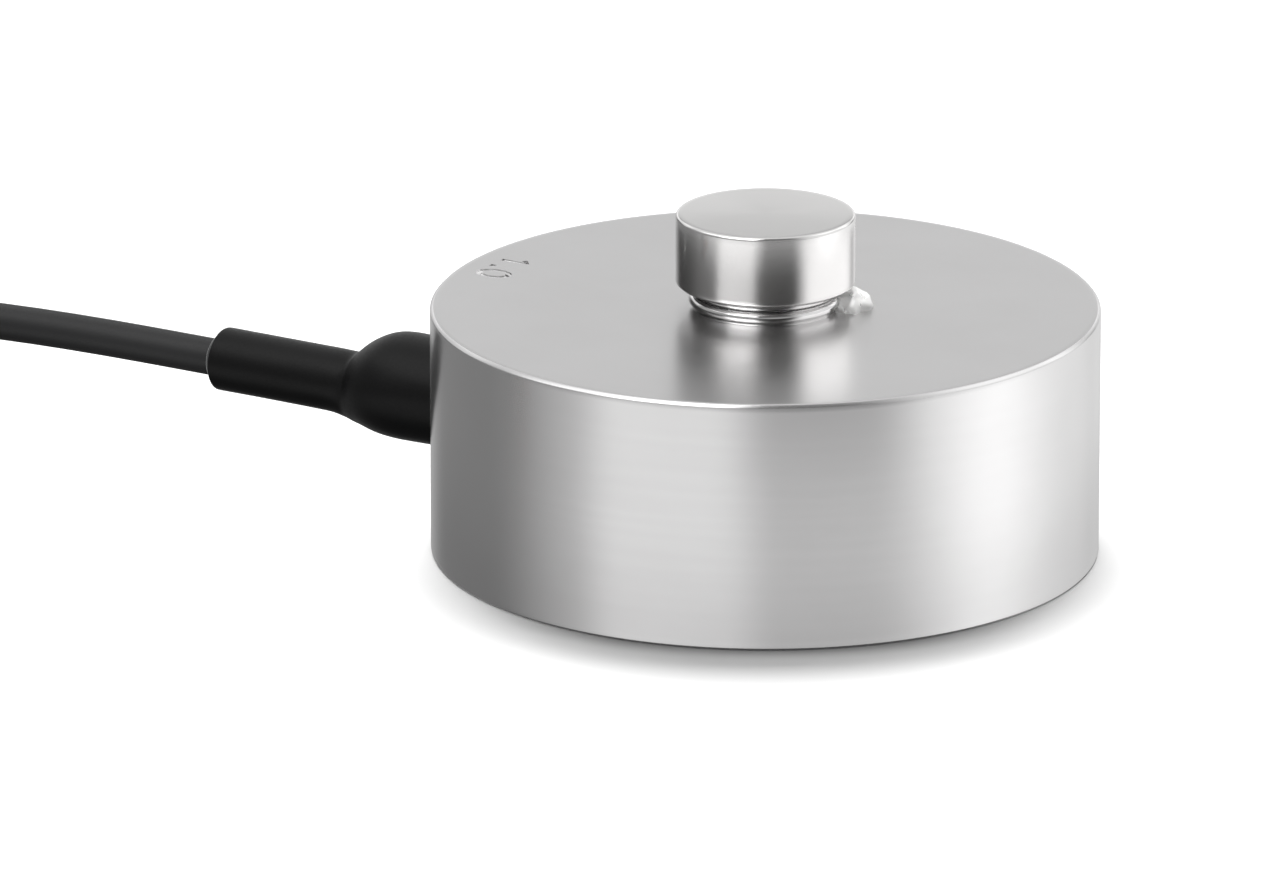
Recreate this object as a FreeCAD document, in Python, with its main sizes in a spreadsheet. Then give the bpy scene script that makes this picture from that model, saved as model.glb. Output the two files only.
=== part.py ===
"""Button load cell: turned spring body, screwed-in load button, gauged cavity, cable with strain relief.

Millimetres. The origin is the centre of the base, +Z is the load axis and the cable leaves along -X.
"""
import FreeCAD, Part
import math
import os
import Sketcher

Vector = FreeCAD.Vector
Rotation = FreeCAD.Rotation
Placement = FreeCAD.Placement

doc = FreeCAD.newDocument("load_cell")

# Driving dimensions: alias, value, meaning

SIZES = [
    ("body_diameter", 50.0, "outside of the spring body"),
    ("body_height", 18.8, "base to top face"),
    ("body_chamfer", 0.4, "broken edge at top and base"),
    ("wall_thickness", 7.0, "wall round the lower cavity"),
    ("ledge_width", 2.0, "board ledge, on the radius"),
    ("bay_height", 4.0, "gauge bay, from the board ledge to the diaphragm"),
    ("diaphragm_thickness", 3.0, "flexing web under the top face"),
    ("hub_diameter", 15.0, "stiff centre that carries the button"),
    ("hub_drop", 6.0, "hub below the diaphragm"),
    ("root_radius", 1.0, "fillet where the diaphragm meets hub and wall"),
    ("pad_diameter", 11.5, "raised seat of the button"),
    ("pad_height", 1.05, "raised seat above the top face"),
    ("edge_round", 0.3, "rounded edges of seat and collar"),
    ("thread_diameter", 6.0, "tapped hole of the button"),
    ("thread_depth", 8.0, "full thread below the seat"),
    ("drill_point", 1.6, "cone at the bottom of a drilled hole"),
    ("collar_inset", 0.25, "button collar inside the seat's edge, on the radius"),
    ("collar_height", 0.65, "button collar on the seat"),
    ("cap_diameter", 13.4, "button cap"),
    ("cap_height", 5.5, "button cap above its collar"),
    ("cap_chamfer", 0.25, "broken edges of the cap"),
    ("shank_length", 7.0, "threaded shank below the collar"),
    ("thread_clearance", 0.05, "shank to hole, on the radius"),
    ("blob_width", 4.0, "squeezed-out sealant, radial"),
    ("blob_offset", 0.5, "middle of the sealant blob, outside the seat's edge"),
    ("blob_length", 4.4, "squeezed-out sealant, along the seat"),
    ("blob_height", 1.3, "squeezed-out sealant above the top face"),
    ("base_ring_width", 4.5, "flat ring of the base, outside the cover recess"),
    ("recess_depth", 1.2, "base to the cover's seat"),
    ("cover_thickness", 0.8, "bottom cover"),
    ("cover_clearance", 0.2, "cover to recess wall, on the radius"),
    ("bead_width", 0.5, "cover sealant on the cover"),
    ("bead_height", 0.3, "cover sealant below the cover"),
    ("mount_inset", 2.5, "tapped holes in the base, inside the body's side"),
    ("mount_hole", 2.5, "tapped hole, core diameter for M3"),
    ("mount_depth", 6.0, "tapped hole, full depth"),
    ("mount_point", 0.7, "cone at the bottom of a tapped hole"),
    ("nipple_height", 7.2, "nipple axis above the base"),
    ("tail_wall", 0.38, "wall of the nipple's tail"),
    ("nipple_fit", 0.02, "tail to hole, on the radius"),
    ("nipple_tail_set", 0.5, "tail end short of the cavity"),
    ("spot_clearance", 0.4, "spot face round the nipple's shoulder, on the radius"),
    ("spot_depth", 0.5, "spot face below the body's side"),
    ("nipple_wall", 1.0, "wall of the nipple outside the body"),
    ("nipple_length", 8.1, "nipple from the spot face to its mouth"),
    ("potting_wall", 0.15, "least potting between cable and nipple"),
    ("groove_depth", 0.35, "gripping grooves of the nipple"),
    ("groove_width", 1.0, "gripping grooves of the nipple"),
    ("groove_pitch", 2.6, "spacing of the grooves"),
    ("potting_set", 1.0, "potting short of the nipple's tail end"),
    ("cable_diameter", 2.9, "jacket of the cable"),
    ("cable_drop", 0.6, "cable axis below the nipple axis"),
    ("cable_clearance", 0.1, "jacket to the bores round it, on the radius"),
    ("sleeve_gap", 0.1, "sleeve end to the body's side"),
    ("bulge_wall", 0.73, "sleeve over the nipple"),
    ("sleeve_fit", 0.02, "sleeve to nipple, on the radius"),
    ("bulge_past", 0.4, "nipple's mouth to the sleeve's shoulder"),
    ("shoulder_length", 4.8, "shrunk shoulder of the sleeve"),
    ("sleeve_wall", 0.9, "sleeve on the cable"),
    ("sleeve_grip", 11.4, "sleeve on the cable, beyond its shoulder"),
    ("liner_thickness", 0.6, "melted liner squeezed out of the sleeve"),
    ("liner_length", 0.8, "melted liner beyond the sleeve"),
    ("gauge_width", 4.0, "strain gauge film"),
    ("gauge_thickness", 0.1, "strain gauge film"),
    ("gauge_margin", 0.25, "film to the root fillets"),
    ("tab_size", 1.0, "solder tabs of a gauge"),
    ("tab_thickness", 0.06, "solder tabs of a gauge"),
    ("tab_spacing", 2.2, "between the two tabs of a gauge"),
    ("lead_diameter", 0.3, "wire from a gauge tab to the board"),
    ("board_thickness", 0.8, "terminal board"),
    ("hub_clearance", 1.5, "hub to the hole of the board, on the radius"),
    ("board_clearance", 0.2, "board to cavity wall, on the radius"),
    ("resistor_length", 3.2, "trim resistor"),
    ("resistor_width", 1.6, "trim resistor"),
    ("resistor_height", 0.6, "trim resistor"),
    ("core_diameter", 0.8, "insulated core of the cable"),
    ("core_spacing", 1.0, "between neighbouring cores"),
    ("landing_offset", 1.5, "cores on the board, outside the middle of its ring"),
    ("coil_mean_radius", 17.3, "middle of the coiled cable's section"),
    ("coil_slack", 0.1, "room between neighbouring turns"),
    ("coil_rows", 4, "layers of turns, one above the other"),
    ("coil_columns", 5, "turns side by side in a layer"),
    ("tie_width", 4.0, "tie round the coil"),
    ("tie_thickness", 0.6, "tie round the coil"),
    ("tie_stand", 0.3, "tie proud of the coil"),
    ("boot_wall", 0.4, "end sleeve at the far end of the jacket"),
    ("boot_length", 10.0, "end sleeve at the far end of the jacket"),
    ("boot_overhang", 2.0, "end sleeve past the jacket"),
]

sheet = doc.addObject("Spreadsheet::Sheet", "sizes")
for row, (alias, value, meaning) in enumerate(SIZES, start=1):
    sheet.set(f"A{row}", meaning)
    sheet.set(f"B{row}", str(value))
    sheet.setAlias(f"B{row}", alias)
doc.recompute()

# Heights and radii that several pieces share, as expressions of the sheet

BODY_R = "sizes.body_diameter / 2"
TOP = "sizes.body_height"
SEAT = "(sizes.body_height + sizes.pad_height)"
PAD_R = "sizes.pad_diameter / 2"
COLLAR_R = f"({PAD_R} - sizes.collar_inset)"
CAP_FOOT = f"({SEAT} + sizes.collar_height)"
CAP_TOP = f"({CAP_FOOT} + sizes.cap_height)"
WEB_FOOT = "(sizes.body_height - sizes.diaphragm_thickness)"
HUB_FOOT = f"({WEB_FOOT} - sizes.hub_drop)"
HUB_R = "sizes.hub_diameter / 2"
LEDGE = f"({WEB_FOOT} - sizes.bay_height)"
CAVITY_R = f"({BODY_R} - sizes.wall_thickness)"
BAY_R = f"({CAVITY_R} - sizes.ledge_width)"
RECESS_R = f"({BODY_R} - sizes.base_ring_width)"
MOUNT_R = f"({BODY_R} - sizes.mount_inset)"
COVER_FOOT = "(sizes.recess_depth - sizes.cover_thickness)"
BOARD_FOOT = f"({LEDGE} - sizes.board_thickness)"
BOARD_IN = f"({HUB_R} + sizes.hub_clearance)"
BOARD_OUT = f"({CAVITY_R} - sizes.board_clearance)"
BOARD_MIDDLE = f"({BOARD_IN} / 2 + {BOARD_OUT} / 2)"
CABLE_HEIGHT = "(sizes.nipple_height - sizes.cable_drop)"
CABLE_BORE_R = "(sizes.cable_diameter / 2 + sizes.cable_clearance)"
NIPPLE_IN = f"({CABLE_BORE_R} + sizes.cable_drop + sizes.potting_wall)"
NIPPLE_R = f"({NIPPLE_IN} + sizes.nipple_wall)"
TAIL_R = f"({NIPPLE_IN} + sizes.tail_wall)"
SPOT = f"({BODY_R} - sizes.spot_depth)"
NIPPLE_TAIL = f"({CAVITY_R} + sizes.nipple_tail_set)"
NIPPLE_MOUTH = f"({SPOT} + sizes.nipple_length)"
SHOULDER_START = f"({NIPPLE_MOUTH} + sizes.bulge_past)"
SHOULDER_END = f"({SHOULDER_START} + sizes.shoulder_length)"
SLEEVE_START = f"({BODY_R} + sizes.sleeve_gap)"
SLEEVE_END = f"({SHOULDER_END} + sizes.sleeve_grip)"
SOCKET_R = f"({NIPPLE_R} + sizes.sleeve_fit)"
BULGE_R = f"({SOCKET_R} + sizes.bulge_wall)"
NARROW_R = f"({CABLE_BORE_R} + sizes.sleeve_wall)"
BOOT_R = f"({CABLE_BORE_R} + sizes.boot_wall)"
TURN_STEP = "(sizes.cable_diameter + sizes.coil_slack)"
COIL_WIDTH = f"((sizes.coil_columns - 1) * {TURN_STEP} + sizes.cable_diameter)"
COIL_HEIGHT = f"((sizes.coil_rows - 1) * {TURN_STEP} + sizes.cable_diameter)"

# Quarter-turn positions round the load axis, in degrees

GAUGE_ANGLES = [0, 90, 180, 270]
RESISTOR_ANGLES = [45, 135, 225, 315]
MOUNT_ANGLE = 45
MOUNT_COUNT = 4
BLOB_ANGLE = 30

# Turns local +Z into -X, the way the cable leaves, and local +X into +Z

OUTWARD = Rotation(Vector(0, 1, 0), -90)

pieces = {}


def size(expression):
    """Value of an expression of the sheet."""
    return float(sheet.evalExpression(expression))


def origin_feature(body, role):
    """Plane or axis of a body's own origin."""
    return next(f for f in body.Origin.OriginFeatures if f.Role == role)


def new_body(name, exported=True):
    """Empty body, exported under its name unless it only shapes another piece."""
    body = doc.addObject("PartDesign::Body", name)
    if exported:
        pieces[name] = body
    return body


def new_sketch(body, name, plane, offset=None):
    """Sketch on one of the body's origin planes, moved along the plane's normal by an expression."""
    sketch = body.newObject("Sketcher::SketchObject", name)
    sketch.AttachmentSupport = [(origin_feature(body, plane), "")]
    sketch.MapMode = "FlatFace"
    if offset:
        sketch.setExpression("AttachmentOffset.Base.z", offset)
    return sketch


def pin_point(sketch, geometry, point, x, y):
    """Fixes a sketch point by two expressions; a zero puts it on that axis."""
    for kind, axis, expression in (("DistanceX", -2, x), ("DistanceY", -1, y)):
        if expression == "0":
            sketch.addConstraint(Sketcher.Constraint("PointOnObject", geometry, point, axis))
            continue
        value = size(expression)
        index = sketch.addConstraint(Sketcher.Constraint(kind, -1, 1, geometry, point, value))
        sketch.setExpression(f"Constraints[{index}]", expression)


def add_outline(sketch, corners):
    """Closed outline of straight lines through corners given as pairs of expressions."""
    spots = [Vector(size(x), size(y), 0) for x, y in corners]
    count = len(corners)
    first = sketch.GeometryCount
    for k in range(count):
        sketch.addGeometry(Part.LineSegment(spots[k], spots[(k + 1) % count]), False)
    for k in range(count):
        following = first + (k + 1) % count
        sketch.addConstraint(Sketcher.Constraint("Coincident", first + k, 2, following, 1))
        pin_point(sketch, first + k, 1, *corners[k])


def add_circle(sketch, x, y, radius):
    """Circle with its centre and radius given as expressions."""
    centre = Vector(size(x), size(y), 0)
    geometry = sketch.addGeometry(Part.Circle(centre, Vector(0, 0, 1), size(radius)), False)
    pin_point(sketch, geometry, 3, x, y)
    index = sketch.addConstraint(Sketcher.Constraint("Radius", geometry, size(radius)))
    sketch.setExpression(f"Constraints[{index}]", radius)


def turned_body(name, corners, exported=True):
    """Body turned about its Z axis from a half section of (radius, height) corners."""
    body = new_body(name, exported)
    sketch = new_sketch(body, f"{name}_section", "XZ_Plane")
    add_outline(sketch, corners)
    turned = body.newObject("PartDesign::Revolution", f"{name}_turned")
    turned.Profile = sketch
    turned.ReferenceAxis = (sketch, ["V_Axis"])
    turned.Angle = 360
    doc.recompute()
    return body


def round_rims(body, name, radius, rims):
    """Fillet on the circular edges of a turned body, each given by its radius and height."""
    tolerance = 1e-4
    base = body.Tip
    names = []
    for number, edge in enumerate(base.Shape.Edges, start=1):
        curve = edge.Curve
        if not isinstance(curve, Part.Circle):
            continue
        for rim_radius, rim_height in rims:
            off_radius = abs(curve.Radius - size(rim_radius))
            off_height = abs(curve.Center.z - size(rim_height))
            if off_radius < tolerance and off_height < tolerance:
                names.append(f"Edge{number}")
    fillet = body.newObject("PartDesign::Fillet", name)
    fillet.Base = (base, names)
    fillet.setExpression("Radius", radius)
    doc.recompute()


def cut_pocket(body, name, sketch):
    """Pocket from a sketch, through everything."""
    pocket = body.newObject("PartDesign::Pocket", name)
    pocket.Profile = sketch
    pocket.Type = "ThroughAll"
    doc.recompute()


def pad_body(name, outline, height):
    """Body padded up from the XY plane over one outline."""
    body = new_body(name)
    sketch = new_sketch(body, f"{name}_outline", "XY_Plane")
    add_outline(sketch, outline)
    pad = body.newObject("PartDesign::Pad", f"{name}_pad")
    pad.Profile = sketch
    pad.setExpression("Length", height)
    doc.recompute()
    return body


def rectangle(x_low, x_high, y_low, y_high):
    """Corners of an upright rectangle."""
    return [(x_low, y_low), (x_high, y_low), (x_high, y_high), (x_low, y_high)]


def boolean(kind, name, base, tool):
    """Part boolean of two objects."""
    result = doc.addObject(f"Part::{kind}", name)
    result.Base = base
    result.Tool = tool
    doc.recompute()
    return result


def solid_feature(name, shape):
    """Piece whose shape is worked out from the sheet's values."""
    feature = doc.addObject("Part::Feature", name)
    feature.Shape = shape
    pieces[name] = feature


def rounded_path(name, points):
    """Wire of straight runs and tangent arcs, each arc as large as its two runs allow."""
    reach = 0.45
    edges = []
    start = points[0]
    radii = []
    for before, corner, after in zip(points, points[1:], points[2:]):
        way_in = (corner - before).normalize()
        way_out = (after - corner).normalize()
        turn = way_in.getAngle(way_out)
        tangent = reach * min((corner - before).Length, (after - corner).Length)
        radius = tangent / math.tan(turn / 2)
        inward = (way_out - way_in).normalize()
        centre = corner + inward * (radius / math.cos(turn / 2))
        arc_start = corner - way_in * tangent
        arc_end = corner + way_out * tangent
        edges.append(Part.LineSegment(start, arc_start).toShape())
        edges.append(Part.Arc(arc_start, centre - inward * radius, arc_end).toShape())
        start = arc_end
        radii.append(round(radius, 1))
    edges.append(Part.LineSegment(start, points[-1]).toShape())
    print(f"{name}: bend radii {radii} mm")
    return Part.Wire(edges)


def tube(name, points, diameter):
    """Round solid along a path; its volume is compared with section times length."""
    allowed = 0.01
    path = rounded_path(name, points)
    direction = points[1] - points[0]
    ring = Part.Wire([Part.makeCircle(diameter / 2, points[0], direction)])
    solid = path.makePipeShell([ring], True, True)
    expected = math.pi * (diameter / 2) ** 2 * path.Length
    if abs(solid.Volume - expected) > allowed * expected:
        raise RuntimeError(f"{name}: volume {solid.Volume:.1f}, expected {expected:.1f}")
    return solid


# Spring body: one turned piece, with outer wall, diaphragm, hub and raised button seat

spring_body = turned_body("spring_body", [
    ("0", HUB_FOOT),
    (HUB_R, HUB_FOOT),
    (HUB_R, WEB_FOOT),
    (BAY_R, WEB_FOOT),
    (BAY_R, LEDGE),
    (CAVITY_R, LEDGE),
    (CAVITY_R, "sizes.recess_depth"),
    (RECESS_R, "sizes.recess_depth"),
    (RECESS_R, "0"),
    (f"{BODY_R} - sizes.body_chamfer", "0"),
    (BODY_R, "sizes.body_chamfer"),
    (BODY_R, f"{TOP} - sizes.body_chamfer"),
    (f"{BODY_R} - sizes.body_chamfer", TOP),
    (PAD_R, TOP),
    (PAD_R, SEAT),
    ("sizes.thread_diameter / 2", SEAT),
    ("sizes.thread_diameter / 2", f"{SEAT} - sizes.thread_depth"),
    ("0", f"{SEAT} - sizes.thread_depth - sizes.drill_point"),
])
round_rims(spring_body, "diaphragm_roots", "sizes.root_radius", [(HUB_R, WEB_FOOT), (BAY_R, WEB_FOOT)])
round_rims(spring_body, "seat_rim", "sizes.edge_round", [(PAD_R, SEAT)])

wall_hole = new_sketch(spring_body, "wall_hole", "YZ_Plane", f"-{CAVITY_R} + sizes.root_radius")
add_circle(wall_hole, "0", "sizes.nipple_height", f"{TAIL_R} + sizes.nipple_fit")
cut_pocket(spring_body, "nipple_hole", wall_hole)

spot_circle = new_sketch(spring_body, "spot_circle", "YZ_Plane", f"-{SPOT}")
add_circle(spot_circle, "0", "sizes.nipple_height", f"{NIPPLE_R} + sizes.spot_clearance")
cut_pocket(spring_body, "spot_face", spot_circle)

mount_section = new_sketch(spring_body, "mount_section", "XZ_Plane")
mount_section.AttachmentOffset = Placement(Vector(), Rotation(Vector(0, 1, 0), MOUNT_ANGLE))
mount_foot = Vector(size(MOUNT_R), 0, 0)
mount_head = Vector(size(MOUNT_R), size("sizes.mount_depth"), 0)
mount_section.addGeometry(Part.LineSegment(mount_foot, mount_head), True)
pin_point(mount_section, 0, 1, MOUNT_R, "0")
pin_point(mount_section, 0, 2, MOUNT_R, "sizes.mount_depth")
add_outline(mount_section, [
    (MOUNT_R, "0"),
    (f"{MOUNT_R} + sizes.mount_hole / 2", "0"),
    (f"{MOUNT_R} + sizes.mount_hole / 2", "sizes.mount_depth"),
    (MOUNT_R, "sizes.mount_depth + sizes.mount_point"),
])
mount_cut = spring_body.newObject("PartDesign::Groove", "mount_hole_1")
mount_cut.Profile = mount_section
mount_cut.ReferenceAxis = (mount_section, ["Axis0"])
mount_cut.Angle = 360
doc.recompute()
mount_pattern = spring_body.newObject("PartDesign::PolarPattern", "mount_holes")
mount_pattern.Originals = [mount_cut]
mount_pattern.Axis = (origin_feature(spring_body, "Z_Axis"), [""])
mount_pattern.Angle = 360
mount_pattern.Occurrences = MOUNT_COUNT
spring_body.Tip = mount_pattern
doc.recompute()

# Load button: cap, rounded collar and threaded shank, turned in one piece

CAP_R = "sizes.cap_diameter / 2"
SHANK_R = "(sizes.thread_diameter / 2 - sizes.thread_clearance)"
SHANK_FOOT = f"({SEAT} - sizes.shank_length)"
load_button = turned_body("load_button", [
    ("0", SHANK_FOOT),
    (SHANK_R, SHANK_FOOT),
    (SHANK_R, SEAT),
    (COLLAR_R, SEAT),
    (COLLAR_R, CAP_FOOT),
    (f"{CAP_R} - sizes.cap_chamfer", CAP_FOOT),
    (CAP_R, f"{CAP_FOOT} + sizes.cap_chamfer"),
    (CAP_R, f"{CAP_TOP} - sizes.cap_chamfer"),
    (f"{CAP_R} - sizes.cap_chamfer", CAP_TOP),
    ("0", CAP_TOP),
])
round_rims(load_button, "collar_rim", "sizes.edge_round", [(COLLAR_R, SEAT)])

# Clear sealant: fills the groove between seat and collar, with one squeezed-out blob beside them

groove_ring = turned_body("groove_ring", rectangle(
    f"{COLLAR_R} - sizes.edge_round", f"{COLLAR_R} - sizes.thread_clearance",
    SEAT, f"{SEAT} + sizes.edge_round"), exported=False)
blob = doc.addObject("Part::Ellipsoid", "sealant_blob")
blob.setExpression("Radius1", "sizes.blob_height")
blob.setExpression("Radius2", "sizes.blob_width / 2")
blob.setExpression("Radius3", "sizes.blob_length / 2")
blob.Placement = Placement(Vector(), Rotation(Vector(0, 0, 1), BLOB_ANGLE))
BLOB_REACH = f"({PAD_R} + sizes.blob_offset)"
blob.setExpression("Placement.Base.x", f"{BLOB_REACH} * cos({BLOB_ANGLE} deg)")
blob.setExpression("Placement.Base.y", f"{BLOB_REACH} * sin({BLOB_ANGLE} deg)")
blob.setExpression("Placement.Base.z", TOP)
doc.recompute()
sealant_mass = boolean("Fuse", "sealant_mass", groove_ring, blob)
sealant_on_body = boolean("Cut", "sealant_on_body", sealant_mass, spring_body)
pieces["thread_sealant"] = boolean("Cut", "thread_sealant", sealant_on_body, load_button)

# Strain gauges: films bonded under the diaphragm, each with two solder tabs and two wires to the board

GAUGE_LOW = f"({HUB_R} + sizes.root_radius + sizes.gauge_margin)"
GAUGE_HIGH = f"({BAY_R} - sizes.root_radius - sizes.gauge_margin)"
GAUGE_FOOT = f"({WEB_FOOT} - sizes.gauge_thickness)"
TAB_FOOT = f"({GAUGE_FOOT} - sizes.tab_thickness)"
TAB_RADIUS = f"({GAUGE_HIGH} - sizes.tab_size)"
for number, angle in enumerate(GAUGE_ANGLES, start=1):
    film = pad_body(
        f"strain_gauge_{number}",
        rectangle(GAUGE_LOW, GAUGE_HIGH, "-sizes.gauge_width / 2", "sizes.gauge_width / 2"),
        "sizes.gauge_thickness")
    tabs = new_sketch(film, f"gauge_tabs_{number}", "XY_Plane")
    for side in ("-", ""):
        middle = f"{side}sizes.tab_spacing / 2"
        add_outline(tabs, rectangle(
            f"{TAB_RADIUS} - sizes.tab_size / 2", f"{TAB_RADIUS} + sizes.tab_size / 2",
            f"{middle} - sizes.tab_size / 2", f"{middle} + sizes.tab_size / 2"))
    tab_pad = film.newObject("PartDesign::Pad", f"gauge_tab_pad_{number}")
    tab_pad.Profile = tabs
    tab_pad.Reversed = True
    tab_pad.setExpression("Length", "sizes.tab_thickness")
    film.Placement = Placement(Vector(), Rotation(Vector(0, 0, 1), angle))
    film.setExpression("Placement.Base.z", GAUGE_FOOT)
    for side, sign in enumerate((-1, 1)):
        lead_name = f"gauge_lead_{2 * number - 1 + side}"
        lead = doc.addObject("Part::Cylinder", lead_name)
        lead.setExpression("Radius", "sizes.lead_diameter / 2")
        lead.setExpression("Height", f"{TAB_FOOT} - {LEDGE}")
        across = f"{sign} * sizes.tab_spacing / 2"
        cosine = f"cos({angle} deg)"
        sine = f"sin({angle} deg)"
        lead.setExpression("Placement.Base.x", f"{TAB_RADIUS} * {cosine} - {across} * {sine}")
        lead.setExpression("Placement.Base.y", f"{TAB_RADIUS} * {sine} + {across} * {cosine}")
        lead.setExpression("Placement.Base.z", LEDGE)
        pieces[lead_name] = lead

# Terminal board: ring against the ledge, with the trim resistors on its underside

turned_body("terminal_board", rectangle(BOARD_IN, BOARD_OUT, BOARD_FOOT, LEDGE))
for number, angle in enumerate(RESISTOR_ANGLES, start=1):
    resistor = pad_body(
        f"trim_resistor_{number}",
        rectangle(
            f"{BOARD_MIDDLE} - sizes.resistor_width / 2", f"{BOARD_MIDDLE} + sizes.resistor_width / 2",
            "-sizes.resistor_length / 2", "sizes.resistor_length / 2"),
        "sizes.resistor_height")
    resistor.Placement = Placement(Vector(), Rotation(Vector(0, 0, 1), angle))
    resistor.setExpression("Placement.Base.z", f"{BOARD_FOOT} - sizes.resistor_height")

# Bottom cover on the recess step, and the bead that seals its rim

COVER_R = f"({RECESS_R} - sizes.cover_clearance)"
turned_body("bottom_cover", [
    ("0", COVER_FOOT),
    (COVER_R, COVER_FOOT),
    (COVER_R, "sizes.recess_depth"),
    ("0", "sizes.recess_depth"),
])
turned_body("cover_sealant", [
    (f"{COVER_R} - sizes.bead_width", COVER_FOOT),
    (RECESS_R, f"{COVER_FOOT} - sizes.bead_height"),
    (RECESS_R, "sizes.recess_depth"),
    (COVER_R, "sizes.recess_depth"),
    (COVER_R, COVER_FOOT),
])

# Cable nipple: tail in the body wall, shoulder on the spot face, grooved stub for the sleeve

GROOVE_R = f"({NIPPLE_R} - sizes.groove_depth)"
GROOVE_COUNT = 2
nipple_corners = [
    (NIPPLE_IN, NIPPLE_TAIL),
    (TAIL_R, NIPPLE_TAIL),
    (TAIL_R, SPOT),
    (NIPPLE_R, SPOT),
]
for groove in range(GROOVE_COUNT):
    groove_start = f"{NIPPLE_MOUTH} - {GROOVE_COUNT - groove} * sizes.groove_pitch"
    nipple_corners += [
        (NIPPLE_R, groove_start),
        (GROOVE_R, groove_start),
        (NIPPLE_R, f"{groove_start} + sizes.groove_width"),
    ]
nipple_corners += [(NIPPLE_R, NIPPLE_MOUTH), (NIPPLE_IN, NIPPLE_MOUTH)]
nipple = turned_body("cable_nipple", nipple_corners)
nipple.Placement = Placement(Vector(), OUTWARD)
nipple.setExpression("Placement.Base.z", "sizes.nipple_height")

# Potting round the cable, inside the nipple; the cable lies below the nipple's axis

potting = new_body("nipple_potting")
potting_circle = new_sketch(potting, "potting_circle", "XY_Plane", f"{NIPPLE_TAIL} + sizes.potting_set")
add_circle(potting_circle, "sizes.cable_drop", "0", NIPPLE_IN)
add_circle(potting_circle, "0", "0", CABLE_BORE_R)
potting_pad = potting.newObject("PartDesign::Pad", "potting_pad")
potting_pad.Profile = potting_circle
potting_pad.setExpression("Length", f"{NIPPLE_MOUTH} - {NIPPLE_TAIL} - sizes.potting_set")
potting.Placement = Placement(Vector(), OUTWARD)
potting.setExpression("Placement.Base.z", CABLE_HEIGHT)
doc.recompute()

# Shrink sleeve: wide over the nipple, shrunk down on to the cable, which leaves below the nipple's axis

sleeve = new_body("shrink_sleeve")
sleeve.Placement = Placement(Vector(), OUTWARD)
sleeve.setExpression("Placement.Base.z", CABLE_HEIGHT)


def sleeve_circle(name, distance, offset, radius):
    """Circle across the sleeve at a distance from the load axis, offset upwards."""
    circle = new_sketch(sleeve, name, "XY_Plane", distance)
    add_circle(circle, offset, "0", radius)
    return circle


def sleeve_pad(name, circle, length):
    """Straight stretch of the sleeve's outside."""
    pad = sleeve.newObject("PartDesign::Pad", name)
    pad.Profile = circle
    pad.setExpression("Length", length)
    doc.recompute()


bulge_start = sleeve_circle("bulge_start", SLEEVE_START, "sizes.cable_drop", BULGE_R)
sleeve_pad("sleeve_bulge", bulge_start, f"{SHOULDER_START} - {SLEEVE_START}")
SHOULDER_STEPS = 3
shoulder_circles = []
for step in range(SHOULDER_STEPS + 1):
    share = step / SHOULDER_STEPS
    shrunk = share * share * (3 - 2 * share)
    shoulder_circles.append(sleeve_circle(
        f"shoulder_circle_{step}", f"{SHOULDER_START} + {share} * sizes.shoulder_length",
        f"{1 - shrunk} * sizes.cable_drop" if shrunk < 1 else "0",
        f"{1 - shrunk} * {BULGE_R} + {shrunk} * {NARROW_R}"))
doc.recompute()
shoulder = sleeve.newObject("PartDesign::AdditiveLoft", "sleeve_shoulder")
shoulder.Profile = shoulder_circles[0]
shoulder.Sections = [(circle, [""]) for circle in shoulder_circles[1:]]
doc.recompute()
narrow_start = sleeve_circle("narrow_start", SHOULDER_END, "0", NARROW_R)
sleeve_pad("sleeve_narrow", narrow_start, f"{SLEEVE_END} - {SHOULDER_END}")
nipple_room = sleeve_circle("nipple_room", NIPPLE_MOUTH, "sizes.cable_drop", SOCKET_R)
cut_pocket(sleeve, "nipple_socket", nipple_room)
cable_room = sleeve_circle("cable_room", SLEEVE_END, "0", CABLE_BORE_R)
cut_pocket(sleeve, "cable_bore", cable_room)

liner = turned_body("sleeve_liner", [
    (CABLE_BORE_R, SLEEVE_END),
    (f"{CABLE_BORE_R} + sizes.liner_thickness", SLEEVE_END),
    (CABLE_BORE_R, f"{SLEEVE_END} + sizes.liner_length"),
])
liner.Placement = Placement(Vector(), OUTWARD)
liner.setExpression("Placement.Base.z", CABLE_HEIGHT)

# Cable route: out through nipple and sleeve, then down to the coil's lowest outer turn

body_radius = size(BODY_R)
cable_height = size(CABLE_HEIGHT)
cable_diameter = size("sizes.cable_diameter")
floor_height = cable_diameter / 2
FLOOR_LIFT = 0.1
COIL_CENTRE = Vector(-86.0, -28.0, 0)
coil_height = size(COIL_HEIGHT)
outer_turn = size(f"sizes.coil_mean_radius + {COIL_WIDTH} / 2") - floor_height


def on_outer_turn(angle, height):
    """Point on the coil's outermost turn, at an angle in degrees round its centre."""
    turn = math.radians(angle)
    return COIL_CENTRE + Vector(outer_turn * math.cos(turn), outer_turn * math.sin(turn), height)


LEAD_POINTS = [
    Vector(4.0 - body_radius, 0.0, cable_height),
    Vector(-19.0 - body_radius, 0.0, cable_height),
    Vector(-42.0 - body_radius, 0.2, cable_height - 0.2),
    Vector(-84.0, 0.6, 4.9),
    Vector(-98.0, -3.0, 2.3),
    Vector(-107.0, -12.0, floor_height + FLOOR_LIFT),
    on_outer_turn(172, floor_height + FLOOR_LIFT),
]

# Coil: outer shape of the tied turns, with the tie sunk flush at the floor

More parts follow.
